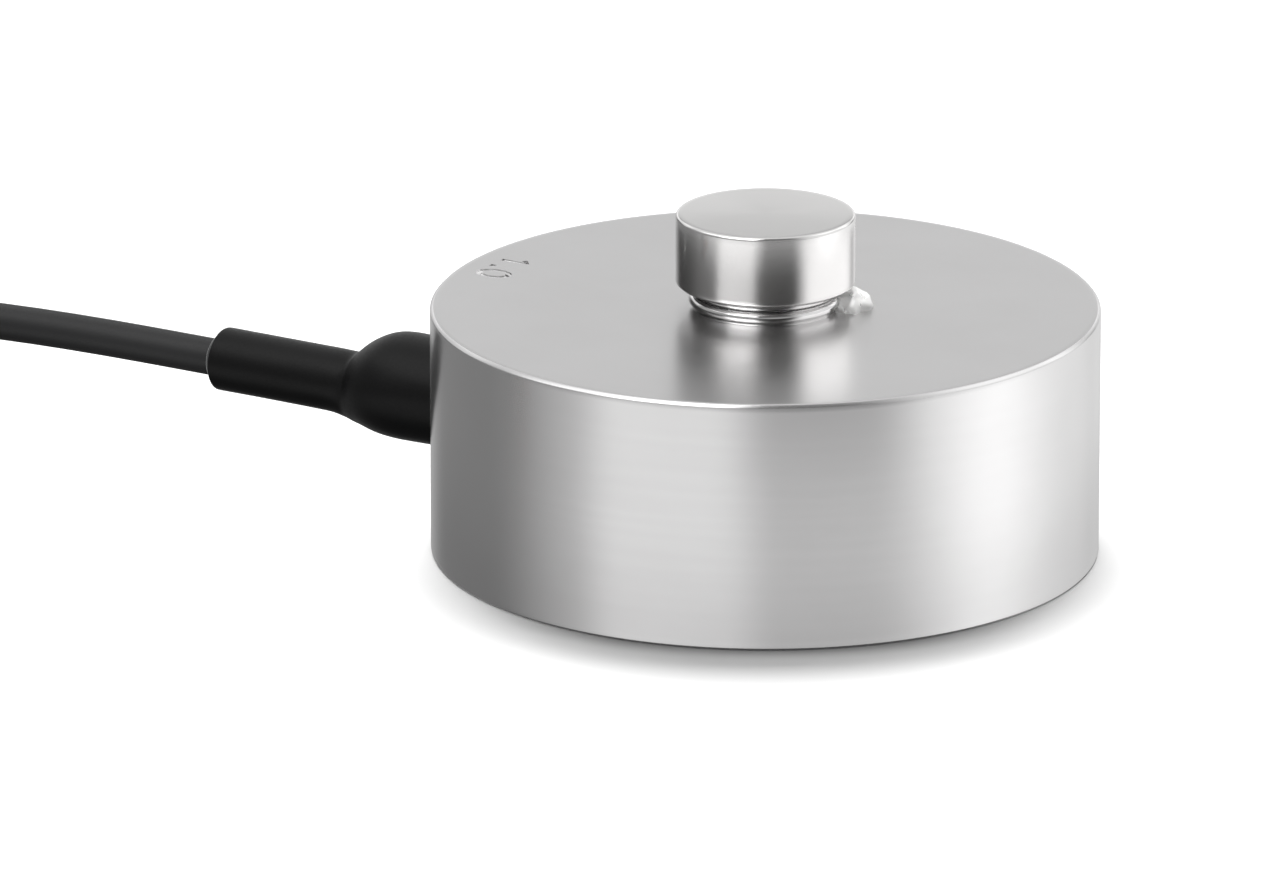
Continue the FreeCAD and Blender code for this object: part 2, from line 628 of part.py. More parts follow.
COIL_IN = f"(sizes.coil_mean_radius - {COIL_WIDTH} / 2)"
COIL_OUT = f"(sizes.coil_mean_radius + {COIL_WIDTH} / 2)"
COIL_CORNER = "sizes.cable_diameter / 2"
coil = turned_body("coil_ring", [
    (COIL_IN, "0"),
    (COIL_OUT, "0"),
    (COIL_OUT, f"{COIL_HEIGHT} - {COIL_CORNER}"),
    (f"{COIL_OUT} - {COIL_CORNER}", COIL_HEIGHT),
    (f"{COIL_IN} + {COIL_CORNER}", COIL_HEIGHT),
    (COIL_IN, f"{COIL_HEIGHT} - {COIL_CORNER}"),
], exported=False)
coil.Placement = Placement(COIL_CENTRE, Rotation())

TIE_ANGLE = 290
TIE_LOW = f"({COIL_IN} - sizes.tie_stand)"
TIE_HIGH = f"({COIL_OUT} + sizes.tie_stand)"
TIE_TOP = f"({COIL_HEIGHT} + sizes.tie_stand)"
tie = new_body("coil_tie")
tie_band = new_sketch(tie, "tie_band", "XZ_Plane")
add_outline(tie_band, rectangle(TIE_LOW, TIE_HIGH, "0", TIE_TOP))
add_outline(tie_band, rectangle(
    f"{TIE_LOW} + sizes.tie_thickness", f"{TIE_HIGH} - sizes.tie_thickness",
    "sizes.tie_thickness", f"{TIE_TOP} - sizes.tie_thickness"))
tie_pad = tie.newObject("PartDesign::Pad", "tie_pad")
tie_pad.Profile = tie_band
tie_pad.setExpression("Length", "sizes.tie_width")
tie.Placement = Placement(COIL_CENTRE, Rotation(Vector(0, 0, 1), TIE_ANGLE))
doc.recompute()
pieces["cable_coil"] = boolean("Cut", "cable_coil", coil, tie)
coil_shape = pieces["cable_coil"].Shape

lead_tube = tube("cable_lead", LEAD_POINTS, cable_diameter)
solid_feature("cable_lead", lead_tube.cut(coil_shape))

# Tail: from the coil's highest outer turn down to the floor, ending in a short boot and bare-ended cores

boot_height = size(BOOT_R)
TAIL_POINTS = [
    on_outer_turn(202, coil_height - floor_height),
    Vector(-106.1, -44.5, 9.5),
    Vector(-101.7, -51.2, 6.7),
    Vector(-94.0, -55.6, 3.5),
    Vector(-85.4, -56.8, boot_height),
    Vector(-73.4, -55.6, boot_height),
]
tail_tube = tube("cable_tail", TAIL_POINTS, cable_diameter)
solid_feature("cable_tail", tail_tube.cut(coil_shape))

tail_end = TAIL_POINTS[-1]
tail_way = (TAIL_POINTS[-1] - TAIL_POINTS[-2]).normalize()
boot_length = size("sizes.boot_length")
boot_overhang = size("sizes.boot_overhang")
boot_start = tail_end - tail_way * (boot_length - boot_overhang)
boot_outside = Part.makeCylinder(boot_height, boot_length, boot_start, tail_way)
boot_inside = Part.makeCylinder(size(CABLE_BORE_R), boot_length, boot_start, tail_way)
solid_feature("end_boot", boot_outside.cut(boot_inside))

# Cores: from the jacket's inner end up to the board, and fanned out at the far end.
# Each has its colour, its side across and up in the cable, and its spread in degrees.

CORES = [("red", -1, 1, 14.0), ("black", 1, 1, -5.0), ("green", -1, -1, 5.0), ("white", 1, -1, -14.0)]
core_diameter = size("sizes.core_diameter")
half_spacing = size("sizes.core_spacing") / 2
board_foot = size(BOARD_FOOT)
FAN_START = 6.0
FAN_LENGTH = 20.0
up = Vector(0, 0, 1)
sideways = up.cross(tail_way)
for colour, across, rise, spread in CORES:
    inner_start = LEAD_POINTS[0] + Vector(0, across * half_spacing, rise * half_spacing)
    landing_radius = size(f"{BOARD_MIDDLE} + sizes.landing_offset") + rise * half_spacing
    landing = Vector(-landing_radius, inner_start.y, inner_start.z)
    inner_points = [inner_start, landing, Vector(landing.x, landing.y, board_foot)]
    solid_feature(f"{colour}_core_inner", tube(f"{colour}_core_inner", inner_points, core_diameter))

    outer_start = tail_end + sideways * (across * half_spacing) + up * (rise * half_spacing)
    outer_bend = outer_start + tail_way * FAN_START
    fan = math.radians(spread)
    outer_end = outer_bend + (tail_way * math.cos(fan) - sideways * math.sin(fan)) * FAN_LENGTH
    outer_end.z = core_diameter / 2
    outer_points = [outer_start, outer_bend, outer_end]
    solid_feature(f"{colour}_core_tail", tube(f"{colour}_core_tail", outer_points, core_diameter))

# Check every object, then write one file for each piece

doc.recompute()
for item in doc.Objects:
    if "Invalid" in item.State or "Error" in item.State:
        raise RuntimeError(f"{item.Name} failed: {item.State}")
for name, piece in pieces.items():
    if piece.Shape.isNull() or not piece.Shape.isValid():
        raise RuntimeError(f"{name} has no valid shape")
    if len(piece.Shape.Solids) != 1:
        raise RuntimeError(f"{name} has {len(piece.Shape.Solids)} solids")

os.makedirs("parts", exist_ok=True)
for name, piece in pieces.items():
    piece.Label = name
    piece.Shape.exportStep(f"parts/{name}.step")
print(f"{len(pieces)} pieces written")
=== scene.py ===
import bmesh
import bpy
import math
from mathutils import Matrix, Vector, noise


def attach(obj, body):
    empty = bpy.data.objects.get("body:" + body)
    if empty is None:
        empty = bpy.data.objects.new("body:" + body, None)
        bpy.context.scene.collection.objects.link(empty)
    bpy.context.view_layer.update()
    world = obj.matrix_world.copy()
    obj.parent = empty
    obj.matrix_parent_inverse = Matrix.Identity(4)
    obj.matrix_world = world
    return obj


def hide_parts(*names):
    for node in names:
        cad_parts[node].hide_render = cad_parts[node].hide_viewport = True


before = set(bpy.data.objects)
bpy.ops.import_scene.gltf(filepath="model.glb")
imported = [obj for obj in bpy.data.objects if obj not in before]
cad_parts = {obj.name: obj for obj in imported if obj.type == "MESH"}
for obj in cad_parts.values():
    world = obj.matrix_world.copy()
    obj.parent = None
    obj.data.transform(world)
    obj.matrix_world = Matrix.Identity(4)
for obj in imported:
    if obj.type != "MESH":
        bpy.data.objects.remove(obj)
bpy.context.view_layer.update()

# Camera: a studio camera with a long lens, a metre from the cell and 18 degrees above the table.
# It looks past the load button, with the cable leaving to the left.

CAMERA_PLACE = Vector((0.492916, -0.810235, 0.310981))
CAMERA_AIM = Vector((-0.503087, 0.808899, -0.304278))
CAMERA_LENS = 374.69
CAMERA_SENSOR = 36.0

camera_data = bpy.data.cameras.new("camera")
camera_data.sensor_fit = "HORIZONTAL"
camera_data.sensor_width = CAMERA_SENSOR
camera_data.lens = CAMERA_LENS
camera = bpy.data.objects.new("camera", camera_data)
camera.location = CAMERA_PLACE
camera.rotation_mode = "QUATERNION"
camera.rotation_quaternion = CAMERA_AIM.to_track_quat("-Z", "Y")
bpy.context.collection.objects.link(camera)
bpy.context.scene.camera = camera

# Cable: two metres of thin four-core signal cable with a matt charcoal jacket, extruded in one run.
# It leaves the body level, sinks to the table and is wound into a tied coil of four layers.

MM = 0.001
CABLE_DIAMETER = 2.9
LEAD_ROUTE = [
    (-21.0, 0.0, 6.6), (-44.0, 0.0, 6.6), (-67.0, 0.2, 6.4),
    (-84.0, 0.6, 4.9), (-98.0, -3.0, 2.3), (-107.0, -12.0, 1.55),
]
TAIL_ROUTE = [
    (-106.1, -44.5, 9.5), (-101.7, -51.2, 6.7), (-94.0, -55.6, 3.5),
    (-85.4, -56.8, 1.95), (-73.4, -55.6, 1.95),
]
COIL_MIDDLE = (-86.0, -28.0)
OUTER_TURN = 23.3
INNER_TURN = 11.3
COIL_LAYERS = 4
LAYER_RISE = 3.0
POINTS_PER_TURN = 24
POINTS_PER_LAYER = 98
POINTS_BETWEEN_LAYERS = 6
COIL_START = 172.0
CABLE_SMOOTHNESS = 6
LINE_ROUNDNESS = 4
PATCH_DETAIL = 4.0
GRAIN_DETAIL = 3.0
CLOUD_LOW, CLOUD_HIGH = 0.3, 0.7


def coil_route():
    """Points of the wound turns: inwards on one layer, outwards on the next, each layer on the last."""
    route = []

    def wind(radius, height):
        angle = math.radians(COIL_START + len(route) * 360 / POINTS_PER_TURN)
        across, along = radius * math.cos(angle), radius * math.sin(angle)
        route.append((COIL_MIDDLE[0] + across, COIL_MIDDLE[1] + along, height))

    for layer in range(COIL_LAYERS):
        start, end = (OUTER_TURN, INNER_TURN) if layer % 2 == 0 else (INNER_TURN, OUTER_TURN)
        height = CABLE_DIAMETER / 2 + layer * LAYER_RISE
        for point in range(POINTS_PER_LAYER):
            wind(start + (end - start) * point / POINTS_PER_LAYER, height)
        if layer < COIL_LAYERS - 1:
            for point in range(POINTS_BETWEEN_LAYERS):
                wind(end, height + LAYER_RISE * point / POINTS_BETWEEN_LAYERS)
    wind(OUTER_TURN, CABLE_DIAMETER / 2 + (COIL_LAYERS - 1) * LAYER_RISE)
    return route


def drawn_line(name, route, diameter, smoothness):
    """A round line along a route in millimetres, smooth through its points."""
    line = bpy.data.curves.new(name, "CURVE")
    line.dimensions = "3D"
    line.bevel_depth = diameter / 2 * MM
    line.bevel_resolution = LINE_ROUNDNESS
    line.use_fill_caps = True
    spline = line.splines.new("NURBS")
    spline.points.add(len(route) - 1)
    for point, place in zip(spline.points, route):
        point.co = (place[0] * MM, place[1] * MM, place[2] * MM, 1.0)
    spline.order_u = 3
    spline.use_endpoint_u = True
    spline.resolution_u = smoothness
    piece = bpy.data.objects.new(name, line)
    bpy.context.collection.objects.link(piece)
    return piece


def hide_from(piece, *rays):
    """Keeps a piece out of the given kinds of light rays."""
    for ray in rays:
        setattr(piece, f"visible_{ray}", False)


def node_maker(tree):
    """Two helpers for a tree: one makes a node in it, one feeds values or other nodes to a node's sockets."""
    def feed(made, inputs):
        for socket, value in inputs.items():
            if isinstance(value, bpy.types.NodeSocket):
                tree.links.new(value, made.inputs[socket])
            else:
                made.inputs[socket].default_value = value

    def node(kind, inputs, **settings):
        made = tree.nodes.new(f"ShaderNode{kind}")
        for setting, value in settings.items():
            setattr(made, setting, value)
        feed(made, inputs)
        return made

    return node, feed


def new_finish(name):
    """A material, a maker of its nodes and a feeder of its shader."""
    finish = bpy.data.materials.new(name)
    finish.use_nodes = True
    node, feed = node_maker(finish.node_tree)
    shader = finish.node_tree.nodes["Principled BSDF"]
    return finish, node, lambda inputs: feed(shader, inputs)


def clouds(node, place, size, detail):
    """Soft random spots, their size in millimetres."""
    return node("TexNoise", {"Vector": place, "Scale": 1 / (size * MM), "Detail": detail}).outputs["Fac"]


def graded(node, value, start, end, before, after, shading="LINEAR"):
    """Goes from one level to another as a value passes from start to end."""
    return node("MapRange", {"Value": value, "From Min": start, "From Max": end, "To Min": before,
                             "To Max": after}, interpolation_type=shading).outputs["Result"]


def mixed(node, share, first, second):
    """A colour between two others."""
    return node("Mix", {"Factor": share, "A": first, "B": second}, data_type="RGBA").outputs["Result"]


def raised(node, height, depth):
    """A fine relief of the surface, its depth in millimetres."""
    return node("Bump", {"Height": height, "Strength": 1.0, "Distance": depth * MM}).outputs["Normal"]


def mottled_finish(name, dark, light, patch, grain, roughness, bump, **constants):
    """Finish with soft patches of two colours, a fine grain in its roughness and a shallow bump.
    patch and grain are sizes in millimetres, bump a height in millimetres."""
    finish, node, feed_shader = new_finish(name)
    place = node("TexCoord", {}).outputs["Object"]
    patches = clouds(node, place, patch, PATCH_DETAIL)
    grains = clouds(node, place, grain, GRAIN_DETAIL)
    feed_shader({"Base Color": mixed(node, patches, (*dark, 1.0), (*light, 1.0)),
                 "Roughness": graded(node, grains, CLOUD_LOW, CLOUD_HIGH, *roughness),
                 "Normal": raised(node, grains, bump), **constants})
    return finish


cable = drawn_line("cable", LEAD_ROUTE + coil_route() + TAIL_ROUTE, CABLE_DIAMETER, CABLE_SMOOTHNESS)
cable.data.materials.append(mottled_finish(
    "cable_jacket", dark=(0.009, 0.009, 0.0095), light=(0.016, 0.016, 0.017), patch=6.0, grain=0.12,
    roughness=(0.42, 0.58), bump=0.004, **{"Specular IOR Level": 0.35}))
hide_from(cable, "glossy")
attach(cable, "root")
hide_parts("cable_lead", "cable_coil", "cable_tail")

# Spring body: a flat round body turned from stainless bar, its top faced, with a raised seat in the middle.
# It is hollow below: a flexing web, a stiff hub, a ledge for the board and a recess for the cover.
# The nipple's hole and spot face, four tapped holes and a stamped number are cut into it afterwards.

BODY_SECTION = [
    (0.0, 9.8), (7.5, 9.8), (7.5, 15.8), (16.0, 15.8), (16.0, 11.8), (18.0, 11.8), (18.0, 1.2),
    (20.5, 1.2), (20.5, 0.0), (24.3, 0.0), (24.86, 0.0), (25.0, 0.14), (25.0, 0.7), (25.0, 18.2),
    (25.0, 18.57), (24.77, 18.8), (24.4, 18.8), (6.0, 18.8), (5.46, 18.8), (5.50, 18.92), (5.60, 19.03),
    (5.69, 19.15), (5.74, 19.28), (5.75, 19.40), (5.73, 19.52), (5.66, 19.64), (5.55, 19.75), (5.42, 19.82),
    (5.20, 19.85), (3.0, 19.85), (3.0, 11.85), (0.0, 10.25),
]
WEB_ROOTS = [(7.5, 15.8), (16.0, 15.8)]
WEB_FILLET = 1.0
WEB_SEGMENTS = 6
BODY_CORNERS = [(24.86, 0.0), (25.0, 0.14), (25.0, 18.57), (24.77, 18.8)]
CORNER_ROUND = 0.05
CORNER_SEGMENTS = 2
SEAT_REACH = 5.8
TOP_FACE = 18.8
NIPPLE_HEIGHT = 7.2
NIPPLE_CUTTER = [(0.0, 17.0), (2.70, 17.0), (2.70, 24.5), (3.70, 24.5), (3.70, 26.0), (0.0, 26.0)]
MOUNT_CUTTER = [(0.0, -1.0), (1.25, -1.0), (1.25, 6.0), (0.0, 6.7)]
MOUNT_CIRCLE = 22.5
MOUNT_ANGLES = [45, 135, 225, 315]
TURNED_STEPS = 256
HOLE_STEPS = 48
CLOSE = 0.01
WELD = 0.001
CRISP_CORNER = 30.0
STAMP_WIDTH = 0.50
STAMP_LIFT = 0.04
STAMP_ROUNDNESS = 3
STAMP_SMOOTHNESS = 4
STAMP_STROKES = [
    [(-21.2, -0.05), (-20.65, -0.55), (-22.85, -0.65)],
    [(-22.85, -2.25), (-22.40, -2.25)],
]
STAMP_RING_MIDDLE = (-21.45, -3.95)
STAMP_RING_SIZE = (1.25, 0.85)
STAMP_RING_POINTS = 10
BODY_STEEL = (0.600, 0.596, 0.597)
DULLED_SHARE = (0.86, 0.855, 0.85)
BRIGHT_TURNING = dict(colour=(0.620, 0.616, 0.616), roughness=0.09, anisotropy=0.3, mark_depth=0.0002,
                      stain=0.3, pitting=0.0)
QUARTER_TURN = 0.25
MARK_STRETCH = 0.0008
MARK_SIZE = 0.11
SCRATCH_SIZE, SCRATCH_DETAIL = 0.20, 1.0
SCRATCH_EDGE = (0.66, 0.72)
SCRATCH_DULLING = 0.006
BAND_SIZE = 0.7
BAND_DULLING = 0.006
STAIN_SIZE, STAIN_DETAIL = 7.5, 5.0
STAIN_EDGE = (0.35, 0.7)
PIT_SIZE, PIT_DETAIL = 0.17, 2.0
PIT_EDGE = (0.56, 0.68)
PITTED_SPOT = 3.2
PITTED_EDGE = (0.46, 0.62)
PIT_DULLING = 0.16
PIT_DEPTH = -4.0


def turn(shape, section, steps, closed=False):
    """Spins a half section of (radius, height) in millimetres round the upright axis."""
    corners = [shape.verts.new((radius * MM, 0.0, height * MM)) for radius, height in section]
    sides = [shape.edges.new(pair) for pair in zip(corners, corners[1:])]
    if closed:
        sides.append(shape.edges.new((corners[-1], corners[0])))
    bmesh.ops.spin(shape, geom=corners + sides, axis=(0, 0, 1), cent=(0, 0, 0),
                   angle=2 * math.pi, steps=steps, use_merge=True)
    bmesh.ops.remove_doubles(shape, verts=shape.verts, dist=WELD * MM)
    bmesh.ops.recalc_face_normals(shape, faces=shape.faces)


def round_edges(shape, edges, offset, segments):
    """Rounds edges by an offset in millimetres."""
    bmesh.ops.bevel(shape, geom=edges, offset=offset * MM, offset_type="OFFSET", segments=segments,
                    profile=0.5, affect="EDGES", material=-1, clamp_overlap=True)


def round_rings(shape, rings, offset, segments):
    """Rounds the turned edges that run round the axis at the given (radius, height)."""
    def on_ring(vertex, ring):
        reach = Vector((math.hypot(vertex.co.x, vertex.co.y), vertex.co.z)) / MM
        return (reach - Vector(ring)).length < CLOSE

    round_edges(shape, [edge for edge in shape.edges
                        if any(all(on_ring(vertex, ring) for vertex in edge.verts) for ring in rings)],
                offset, segments)


def piece_from(name, shape):
    """Makes an object at the origin from a finished shape."""
    mesh = bpy.data.meshes.new(name)
    shape.to_mesh(mesh)
    shape.free()
    piece = bpy.data.objects.new(name, mesh)
    bpy.context.collection.objects.link(piece)
    return piece


def baked_mesh(piece):
    """The mesh of a piece with its modifiers or its drawn line made solid."""
    ready = piece.evaluated_get(bpy.context.evaluated_depsgraph_get())
    return bpy.data.meshes.new_from_object(ready)


def join_or_cut(piece, tools, operation):
    """Joins other shapes to a piece or cuts them out of it, for good, and removes them."""
    for tool in tools:
        step = piece.modifiers.new(tool.name, "BOOLEAN")
        step.operation = operation
        step.solver = "EXACT"
        step.object = tool
    mesh = baked_mesh(piece)
    piece.modifiers.clear()
    joined = bmesh.new()
    joined.from_mesh(mesh)
    bmesh.ops.remove_doubles(joined, verts=joined.verts, dist=WELD * MM)
    bmesh.ops.dissolve_degenerate(joined, edges=joined.edges, dist=WELD / 2 * MM)
    joined.to_mesh(mesh)
    joined.free()
    mesh.materials.clear()
    piece.data = mesh
    for tool in tools:
        bpy.data.objects.remove(tool)


def smooth_faces(piece, corner=CRISP_CORNER):
    """Shades the turned faces smooth and keeps the corners crisp."""
    for face in piece.data.polygons:
        face.use_smooth = True
    piece.data.set_sharp_from_angle(angle=math.radians(corner))


def calculated(node, operation, *values):
    """One sum, product or comparison of values."""
    return node("Math", dict(enumerate(values)), operation=operation).outputs["Value"]


def turned_finish(name, colour, roughness, anisotropy, mark_depth, stain, pitting):
    """Bare turned steel: fine tool marks and faint scratches round the axis, dull patches, small pits.
    mark_depth is in millimetres, stain and pitting go from 0 to 1."""
    finish, node, feed_shader = new_finish(name)
    place = node("TexCoord", {}).outputs["Object"]
    split = node("SeparateXYZ", {"Vector": place})
    level = node("VectorMath", {0: place, 1: (1.0, 1.0, 0.0)}, operation="MULTIPLY").outputs["Vector"]
    radius = node("VectorMath", {0: level}, operation="LENGTH").outputs["Value"]
    angle = calculated(node, "ARCTAN2", split.outputs["Y"], split.outputs["X"])
    along = calculated(node, "MULTIPLY", angle, MARK_STRETCH)
    around = node("CombineXYZ", {"X": radius, "Y": split.outputs["Z"], "Z": along}).outputs["Vector"]
    marks = clouds(node, around, MARK_SIZE, GRAIN_DETAIL)
    scratches = graded(node, clouds(node, around, SCRATCH_SIZE, SCRATCH_DETAIL), *SCRATCH_EDGE, 0.0, 1.0)
    stains = graded(node, clouds(node, place, STAIN_SIZE, STAIN_DETAIL), *STAIN_EDGE, 0.0, stain)
    pitted = graded(node, clouds(node, place, PITTED_SPOT, PIT_DETAIL), *PITTED_EDGE, 0.0, pitting)
    pits = graded(node, clouds(node, place, PIT_SIZE, PIT_DETAIL), *PIT_EDGE, 0.0, 1.0)
    pits = calculated(node, "MULTIPLY", pits, pitted)
    gloss = graded(node, clouds(node, around, BAND_SIZE, GRAIN_DETAIL), CLOUD_LOW, CLOUD_HIGH,
                   roughness - BAND_DULLING, roughness + BAND_DULLING)
    gloss = calculated(node, "MULTIPLY_ADD", scratches, SCRATCH_DULLING, gloss)
    gloss = calculated(node, "MULTIPLY_ADD", pits, PIT_DULLING, gloss)
    relief = calculated(node, "MULTIPLY_ADD", pits, PIT_DEPTH, marks)
    dulled = [part * share for part, share in zip(colour, DULLED_SHARE)]
    grain = node("Tangent", {}, direction_type="RADIAL", axis="Z")
    feed_shader({"Base Color": mixed(node, stains, (*colour, 1.0), (*dulled, 1.0)), "Metallic": 1.0,
                 "Roughness": gloss, "Normal": raised(node, relief, mark_depth), "Anisotropic": anisotropy,
                 "Anisotropic Rotation": QUARTER_TURN, "Tangent": grain.outputs["Tangent"]})
    return finish


def stamped_number():
    """The number's strokes as round-nosed punches, standing in the top face."""
    strokes = bpy.data.curves.new("stamp", "CURVE")
    strokes.dimensions = "3D"
    strokes.bevel_depth = STAMP_WIDTH / 2 * MM
    strokes.bevel_resolution = STAMP_ROUNDNESS
    strokes.use_fill_caps = True
    height = (TOP_FACE + STAMP_LIFT) * MM
    angles = [2 * math.pi * point / STAMP_RING_POINTS for point in range(STAMP_RING_POINTS)]
    ring = [(STAMP_RING_MIDDLE[0] + STAMP_RING_SIZE[0] * math.cos(angle),
             STAMP_RING_MIDDLE[1] + STAMP_RING_SIZE[1] * math.sin(angle)) for angle in angles]
    for stroke in STAMP_STROKES + [ring]:
        spline = strokes.splines.new("NURBS" if stroke is ring else "POLY")
        spline.points.add(len(stroke) - 1)
        for point, place in zip(spline.points, stroke):
            point.co = (place[0] * MM, place[1] * MM, height, 1.0)
        spline.use_cyclic_u = stroke is ring
        spline.order_u = 3
        spline.resolution_u = STAMP_SMOOTHNESS
    drawn = bpy.data.objects.new("stamp", strokes)
    bpy.context.collection.objects.link(drawn)
    punch = bpy.data.objects.new("stamp_punch", baked_mesh(drawn))
    bpy.context.collection.objects.link(punch)
    bpy.data.objects.remove(drawn)
    return punch


shape = bmesh.new()
turn(shape, BODY_SECTION, TURNED_STEPS)
round_rings(shape, WEB_ROOTS, WEB_FILLET, WEB_SEGMENTS)
round_rings(shape, BODY_CORNERS, CORNER_ROUND, CORNER_SEGMENTS)
body = piece_from("turned_body", shape)

shape = bmesh.new()
turn(shape, NIPPLE_CUTTER, HOLE_STEPS)
bmesh.ops.rotate(shape, verts=shape.verts, matrix=Matrix.Rotation(-math.pi / 2, 3, "Y"))
bmesh.ops.translate(shape, verts=shape.verts, vec=(0, 0, NIPPLE_HEIGHT * MM))
cutters = [piece_from("nipple_cutter", shape)]
for angle in MOUNT_ANGLES:
    shape = bmesh.new()
    turn(shape, MOUNT_CUTTER, HOLE_STEPS)
    spot = Matrix.Rotation(math.radians(angle), 3, "Z") @ Vector((MOUNT_CIRCLE * MM, 0, 0))
    bmesh.ops.translate(shape, verts=shape.verts, vec=spot)
    cutters.append(piece_from(f"mount_cutter_{angle}", shape))
join_or_cut(body, [*cutters, stamped_number()], "DIFFERENCE")

body.data.materials.append(turned_finish(
    "turned_steel", BODY_STEEL, roughness=0.25, anisotropy=0.86, mark_depth=0.0006, stain=0.22, pitting=0.0))
body.data.materials.append(turned_finish(
    "faced_steel", BODY_STEEL, roughness=0.29, anisotropy=0.25, mark_depth=0.0006, stain=0.22, pitting=0.0))
body.data.materials.append(turned_finish("bright_seat", **BRIGHT_TURNING))
for face in body.data.polygons:
    middle = face.center
    on_top = middle.z > (TOP_FACE - CLOSE) * MM
    on_seat = middle.z > (TOP_FACE + CLOSE) * MM and middle.xy.length < SEAT_REACH * MM
    face.material_index = 2 if on_seat else 1 if on_top else 0
smooth_faces(body)
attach(body, "root")
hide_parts("spring_body")

# Load button: cap, collar and threaded shank turned in one piece from hardened steel.
# It is screwed down on to the body's seat.
# Its top is slightly crowned, its side fine turned and a little pitted.

BUTTON_SECTION = [
    (0.0, 12.85), (2.95, 12.85), (2.95, 19.85), (5.18, 19.86), (5.34, 19.89), (5.44, 19.96), (5.49, 20.06),
    (5.50, 20.16), (5.49, 20.26), (5.44, 20.36), (5.34, 20.44), (5.20, 20.5), (6.45, 20.5), (6.7, 20.75),
    (6.7, 21.05), (6.7, 25.2), (6.7, 25.94), (6.1, 25.948), (5.2, 25.962), (4.2, 25.975), (3.0, 25.987),
    (1.8, 25.995), (0.8, 25.999), (0.0, 26.0),
]
CAP_FOOT_CORNERS = [(6.45, 20.5), (6.7, 20.75)]
CAP_FOOT = 20.5
CAP_RIM = [(6.7, 25.94)]
RIM_ROUND = 0.26
RIM_SEGMENTS = 8
BUTTON_STEEL = (0.680, 0.674, 0.670)

shape = bmesh.new()
turn(shape, BUTTON_SECTION, TURNED_STEPS)
round_rings(shape, CAP_FOOT_CORNERS, CORNER_ROUND, CORNER_SEGMENTS)
round_rings(shape, CAP_RIM, RIM_ROUND, RIM_SEGMENTS)
button = piece_from("load_cap", shape)
button.data.materials.append(turned_finish(
    "button_steel", BUTTON_STEEL, roughness=0.18, anisotropy=0.7, mark_depth=0.0005, stain=0.4, pitting=0.3))
button.data.materials.append(turned_finish("bright_collar", **BRIGHT_TURNING))
for face in button.data.polygons:
    face.material_index = 1 if face.center.z < (CAP_FOOT - CLOSE) * MM else 0
smooth_faces(button)
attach(button, "root")
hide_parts("load_button")

# Clear sealant: a bead of glue that locks the button's thread, run round the groove under the collar.
# It cured glassy and slightly cloudy, with one lump squeezed out on to the top face.

BEAD_SECTION = [(4.90, 19.80), (5.22, 19.80), (5.28, 19.85), (5.22, 19.92), (4.90, 19.92)]
BEAD_WANDER = 0.04
BEAD_WAVES = 0.45
LUMP_MIDDLE = 6.25
LUMP_ANGLE = 30
LUMP_HALF = (2.0, 2.45, 1.45)
LUMP_WANDER = 0.24
LUMP_WAVES = 1.9
LUMP_SINK = 0.02
LUMP_FINENESS = 5
GLUE_CORNER = 75.0
NECK_CUTTER = [
    (0.0, 18.5), (5.43, 18.5), (5.43, 18.82), (5.57, 19.03), (5.71, 19.28), (5.72, 19.40), (5.70, 19.52),
    (5.52, 19.74), (5.39, 19.80), (5.12, 19.84), (5.12, 19.88), (5.31, 19.92), (5.46, 20.06), (5.47, 20.16),
    (5.46, 20.26), (5.31, 20.42), (5.17, 20.53), (6.43, 20.53), (6.67, 20.77), (6.67, 26.5), (0.0, 26.5),
]

shape = bmesh.new()
turn(shape, BEAD_SECTION, TURNED_STEPS, closed=True)
for vertex in shape.verts:
    vertex.co.xy *= 1 + BEAD_WANDER * noise.noise(vertex.co / MM * BEAD_WAVES) * MM / vertex.co.xy.length
sealant = piece_from("clear_sealant", shape)

shape = bmesh.new()
bmesh.ops.create_icosphere(shape, subdivisions=LUMP_FINENESS, radius=1.0)
for vertex in shape.verts:
    vertex.co *= 1 - LUMP_WANDER * (0.5 + 0.5 * noise.noise(vertex.co * LUMP_WAVES))
bmesh.ops.scale(shape, verts=shape.verts, vec=[half * MM for half in LUMP_HALF])
bmesh.ops.translate(shape, verts=shape.verts, vec=(LUMP_MIDDLE * MM, 0, TOP_FACE * MM))
bmesh.ops.rotate(shape, verts=shape.verts, matrix=Matrix.Rotation(math.radians(LUMP_ANGLE), 3, "Z"))
bmesh.ops.bisect_plane(shape, geom=shape.verts[:] + shape.edges[:] + shape.faces[:],
                       plane_co=(0, 0, (TOP_FACE - LUMP_SINK) * MM), plane_no=(0, 0, 1), clear_inner=True)
bmesh.ops.holes_fill(shape, edges=[edge for edge in shape.edges if edge.is_boundary])
join_or_cut(sealant, [piece_from("sealant_lump", shape)], "UNION")

shape = bmesh.new()
turn(shape, NECK_CUTTER, TURNED_STEPS)
join_or_cut(sealant, [piece_from("neck_cutter", shape)], "DIFFERENCE")
sealant.data.materials.append(mottled_finish(
    "clear_glue", dark=(0.88, 0.88, 0.87), light=(0.96, 0.96, 0.95), patch=1.2, grain=0.5, roughness=(0.26, 0.40),
    bump=0.004, **{"Transmission Weight": 0.64, "IOR": 1.40}))
smooth_faces(sealant, GLUE_CORNER)
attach(sealant, "root")
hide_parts("thread_sealant")

# Strain gauges: four etched foil grids on amber film, glued under the web, each with two bare copper wires.
# They sit in the sealed bay and are wired to the terminal board.

GAUGE_COUNT = 4
WIRE_COUNT = 8


def dress(names, finish):
    """Gives carried-over pieces their finish."""
    for name in names:
        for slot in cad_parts[name].material_slots:
            slot.material = finish


